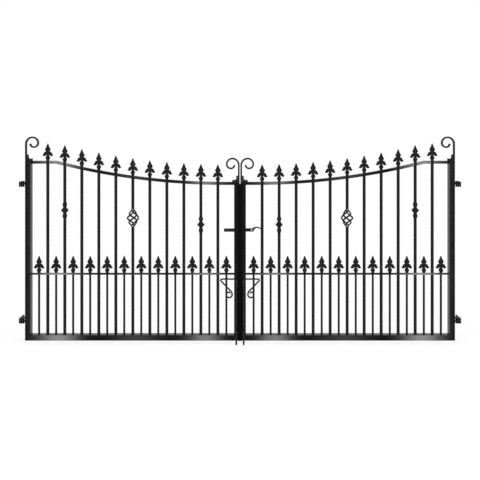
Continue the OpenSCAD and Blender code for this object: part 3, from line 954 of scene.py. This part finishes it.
class GATE_OT_latch(bpy.types.Operator):
    """Draws the latch bolt out into the root of its pull, bends the pull and drills the padlock hole"""

    bl_idname = "gate.latch"
    bl_label = "Latch bolt"

    def execute(self, context):
        size = iron()
        low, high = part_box("latch_bolt")
        depth = high.y - low.y
        axis = Vector((middle_of_gate(), (low.y + high.y) / 2, low.z + size.latch_height / 2))
        outside = size.pull_radius + size.pull_width / 2
        crest = high.x - axis.x - outside * math.sin(size.pull_end)
        centre = high.z - axis.z - outside
        obj = latch_plate(low.x - axis.x, crest, centre, depth)
        pull = latch_pull(crest, centre, depth)
        for operation, other in (("UNION", pull), ("DIFFERENCE", padlock_drill(depth))):
            apply_modifier(obj, "BOOLEAN", operation=operation, solver="EXACT", object=other)
            bpy.data.objects.remove(other)
        named("latch_bolt_and_pull")
        round_edges(close(obj), size.latch_edge)
        obj.location = axis
        settle(obj)
        close(obj)
        even_shading(obj)
        dress(obj, "latch_bolt", "fittings", "latch_bolt")
        return {"FINISHED"}


# Added trim

# Places along Y of a wall plate's two holes
HOLES = (0.031, 0.057)

# A washer in shares of its radius and thickness, rounded on top
WASHER_SHARES = ((1.0, 0.0), (1.0, 0.7), (0.92, 1.0))

# Ripples round a weld bead, and how far each draws it in
RIPPLES = 12
RIPPLE_SHARES = (0.985, 0.985, 0.8)


class GATE_OT_cover_strip(bpy.types.Operator):
    """Lays the flat strip that covers the gap between the closed leaves"""

    bl_idname = "gate.cover_strip"
    bl_label = "Cover strip"

    def execute(self, context):
        size = iron()
        low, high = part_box("right_meeting_stile")
        tall = high.z - low.z - size.strip_drop
        start_clean()
        bpy.ops.mesh.primitive_cube_add(size=1.0)
        obj = named("cover_strip")
        obj.scale = (size.strip_width, size.strip_depth, tall)
        front = low.y - size.strip_gap - size.strip_depth / 2
        obj.location = (middle_of_gate(), front, low.z + tall / 2)
        settle(obj)
        round_edges(obj, size.strip_edge)
        close(obj)
        even_shading(obj)
        # The strip takes the darker copy of the frame's paint: painted shade over the meeting gap
        dress(obj, "right_leaf", "frame", finish=strip_paint)
        return {"FINISHED"}


def wall_bolt():
    """Hexagon bolt head on its washer, along +X from the origin."""
    size = iron()
    upward = 0.9
    corner = size.head_width / 2 / math.cos(math.pi / 6)
    start_clean()
    bpy.ops.mesh.primitive_cylinder_add(vertices=6, radius=corner, depth=size.head_height)
    head = named("bolt_head")
    head.location = (0, 0, size.washer_depth + size.head_height / 2)
    settle(head)
    enter(head)
    choose("faces", lambda f: f.normal.z > upward)
    bpy.ops.mesh.inset(thickness=size.head_chamfer, depth=size.head_chamfer / 2)
    bpy.ops.object.mode_set(mode="OBJECT")
    half = size.washer_width / 2
    rings = [(wide * half, wide * half, high * size.washer_depth) for wide, high in WASHER_SHARES]
    washer = loft("bolt_washer", sides=24, stations=rings)
    bolt = joined([head, washer], "wall_bolt")
    bolt.rotation_euler = (0, math.radians(90), 0)
    return close(settle(bolt))


class GATE_OT_wall_bolts(bpy.types.Operator):
    """Sets a bolt and a washer in every hole of the wall plates, with the right ones mirrored"""

    bl_idname = "gate.wall_bolts"
    bl_label = "Wall bolts"

    def execute(self, context):
        rows = []
        for side in SIDES:
            places = []
            for level in ("lower", "upper"):
                low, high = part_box(f"{side}_{level}_hinge_bracket")
                wall = low.x if side == "left" else CAD_BOX[0].x + CAD_BOX[1].x - high.x
                for back in HOLES:
                    places.append(Vector((wall + iron().plate_depth, back, (low.z + high.z) / 2)))
            row = copies(wall_bolt(), places, f"{side}_wall_bolts")
            if side == "right":
                mirrored(row, middle_of_gate())
            rows.append(row)
        dress(joined(rows, "wall_bolts"), "wall_hinges", "fittings")
        return {"FINISHED"}


def weld_bead(diameter):
    """Ring of weld round a bar's foot, rippled by the passes of the arc."""
    leg = iron().weld
    start_clean()
    bpy.ops.mesh.primitive_torus_add(
        major_segments=24, minor_segments=6, major_radius=diameter / 2, minor_radius=leg)
    obj = named("weld_bead")
    enter(obj, "VERT")
    pitch = 2 * math.pi / RIPPLES
    choose("verts", lambda v: (math.atan2(v.co.y, v.co.x) + pitch / 4) % pitch < pitch / 2)
    bpy.ops.transform.resize(value=RIPPLE_SHARES)
    bpy.ops.object.mode_set(mode="OBJECT")
    return close(obj, angle=60.0)


class GATE_OT_welds(bpy.types.Operator):
    """Runs a weld bead round the foot of every bar"""

    bl_idname = "gate.welds"
    bl_label = "Weld beads"

    def execute(self, context):
        for side in SIDES:
            rows = []
            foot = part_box(f"{side}_bottom_rail")[1].z
            for kind, count in bar_counts().items():
                places, diameter = bar_row(f"{side}_{kind}_bars", count)
                feet = [Vector((p.x, p.y, foot)) for p in places]
                rows.append(copies(weld_bead(diameter), feet, f"{side}_{kind}_welds"))
            dress(joined(rows, f"{side}_weld_beads"), f"{side}_leaf", "frame")
        return {"FINISHED"}


# Stage


def seen(start):
    """1 where a surface is seen directly, in a reflection or through glass."""
    path = start.node("ShaderNodeLightPath")
    outputs = path.socket.node.outputs
    rays = [Signal(start.tree, outputs[name]) for name in
            ("Is Camera Ray", "Is Glossy Ray", "Is Transmission Ray")]
    return start.maths("MINIMUM", rays[0] + rays[1] + rays[2], 1.0)


# Soft boxes behind the camera, mirrored about the middle: where a flat face shows each, its spread and its
# brightness
BOXES = ((1.374, 0.08, 9.6), (0.79, 0.11, 1.5), (0.264, 0.066, 7.6))

# The curtain that holds them: its distance in shares of the camera's, the height of its middle and its size
CURTAIN_SHARE = 1.1
CURTAIN_HEIGHT = 0.8
CURTAIN_SIZE = (12.0, 7.0, 1)

# The floor: its length, its tone, how it is drawn in along X, and how fast it turns to plain white outwards
FLOOR_LENGTH = 60.0
FLOOR_TONE = (0.92, 0.92, 0.92, 1)
FLOOR_DRAW = (0.5, 1, 1)
FLOOR_FADE = 0.03

# The overhead light: its size, its place along Y and Z, and its tilt
KEY_SIZE = 3.0
KEY_PLACE = (-1.6, 4.2)
KEY_TILT = math.radians(18)


class GATE_OT_stage(bpy.types.Operator):
    """Sets the camera, the pale floor, the white surround and the soft lights"""

    bl_idname = "gate.stage"
    bl_label = "Stage"

    def execute(self, context):
        stage = context.scene.gate_stage
        context.scene.view_settings.view_transform = "Standard"
        lens = bpy.data.cameras.new("camera")
        lens.lens = stage.lens
        lens.shift_y = stage.rise
        camera = bpy.data.objects.new("camera", lens)
        camera.location = stage.eye
        camera.rotation_euler = (math.radians(90), 0, 0)
        context.scene.collection.objects.link(camera)
        context.scene.camera = camera
        self.surround(context.scene, stage)
        self.floor(stage)
        self.curtain(stage)
        self.key(context.scene, stage)
        return {"FINISHED"}

    def surround(self, scene, stage):
        """White all round where it is seen, and an even light elsewhere."""
        world = bpy.data.worlds.new("surround")
        world.use_nodes = True
        world.node_tree.nodes.clear()
        start = Signal(world.node_tree)
        level = stage.ambient + (1.0 - stage.ambient) * seen(start)
        light = start.node("ShaderNodeBackground", None, {"Color": WHITE, "Strength": level})
        start.node("ShaderNodeOutputWorld", None, {"Surface": light})
        scene.world = world

    def floor(self, stage):
        """Pale floor under the bolts' tips. It keeps the shadow and stays out of reflections."""
        start_clean()
        bpy.ops.mesh.primitive_plane_add(
            size=FLOOR_LENGTH, location=(middle_of_gate(), 0, CAD_BOX[0].z - stage.drop))
        floor = named("floor")
        material, start = new_shader("pale_floor")
        matt = start.node("ShaderNodeBsdfDiffuse", None, {"Color": FLOOR_TONE})
        glow = start.node("ShaderNodeEmission", None, {"Color": WHITE, "Strength": 1.0})
        at = stretched(start, start.node("ShaderNodeTexCoord", output="Object"), FLOOR_DRAW)
        away = start.node("ShaderNodeVectorMath", {"operation": "LENGTH"}, {0: at}, output="Value")
        share = start.maths("MINIMUM", stage.white + FLOOR_FADE * away * away, 1.0)
        surface = start.node("ShaderNodeMixShader", None, {0: share * seen(start), 1: matt, 2: glow})
        finish_shader(start, surface)
        floor.data.materials.append(material)
        floor.visible_glossy = False
        floor.visible_shadow = False

    def curtain(self, stage):
        """Dark curtain behind the camera with soft upright lights in it. Only reflections show it."""
        back = CURTAIN_SHARE * abs(stage.eye[1])
        reach = 1 + CURTAIN_SHARE
        start_clean()
        bpy.ops.mesh.primitive_plane_add(
            size=1.0, location=(middle_of_gate(), -back, CURTAIN_HEIGHT), rotation=(math.radians(90), 0, 0))
        curtain = named("curtain")
        curtain.scale = CURTAIN_SIZE
        only(curtain)
        bpy.ops.object.transform_apply(location=False, rotation=False, scale=True)
        material, start = new_shader("curtain")
        at = start.node("ShaderNodeTexCoord", output="Object")
        across = start.node("ShaderNodeSeparateXYZ", None, {0: at}, output="X")
        away = start.maths("ABSOLUTE", across * (1 / reach), 0.0)
        level = stage.curtain
        for centre, spread, brightness in BOXES:
            gap = away - centre
            level = level + brightness * start.maths("POWER", math.e, gap * gap * (-0.5 / spread ** 2))
        glow = start.node("ShaderNodeEmission", None, {"Color": WHITE, "Strength": level})
        finish_shader(start, glow)
        curtain.data.materials.append(material)
        curtain.visible_camera = False
        curtain.visible_diffuse = False
        curtain.visible_shadow = False

    def key(self, scene, stage):
        """Large soft light above the front of the gate."""
        light = bpy.data.lights.new("overhead", "AREA")
        light.size = KEY_SIZE
        light.energy = stage.key
        lamp = bpy.data.objects.new("overhead", light)
        lamp.location = (middle_of_gate(), *KEY_PLACE)
        lamp.rotation_euler = (KEY_TILT, 0, 0)
        lamp.visible_camera = False
        lamp.visible_glossy = False
        scene.collection.objects.link(lamp)


# Panel and registration

OPERATORS = (
    GATE_OT_paint, GATE_OT_finials, GATE_OT_scrolls, GATE_OT_baskets, GATE_OT_drop_bolts, GATE_OT_latch,
    GATE_OT_cover_strip, GATE_OT_wall_bolts, GATE_OT_welds, GATE_OT_stage,
)
GROUPS = {
    "gate_iron": GateIron, "gate_ornament": GateOrnament, "gate_paint": GatePaint, "gate_stage": GateStage,
}


class GATE_PT_sidebar(bpy.types.Panel):
    """The gate's operators and settings"""

    bl_idname = "GATE_PT_sidebar"
    bl_label = "Driveway gate"
    bl_space_type = "VIEW_3D"
    bl_region_type = "UI"
    bl_category = "Gate"

    def draw(self, context):
        for operator in OPERATORS:
            self.layout.operator(operator.bl_idname)
        for name, group in GROUPS.items():
            box = self.layout.box()
            for prop in group.__annotations__:
                box.prop(getattr(context.scene, name), prop)


def register():
    for cls in (*GROUPS.values(), *OPERATORS, GATE_PT_sidebar):
        bpy.utils.register_class(cls)
    for name, group in GROUPS.items():
        setattr(bpy.types.Scene, name, PointerProperty(type=group))


def unregister():
    for name in GROUPS:
        delattr(bpy.types.Scene, name)
    for cls in reversed((*GROUPS.values(), *OPERATORS, GATE_PT_sidebar)):
        bpy.utils.unregister_class(cls)


def main():
    register()
    for operator in OPERATORS:
        group, name = operator.bl_idname.split(".")
        getattr(getattr(bpy.ops, group), name)()


if __name__ == "__main__":
    main()
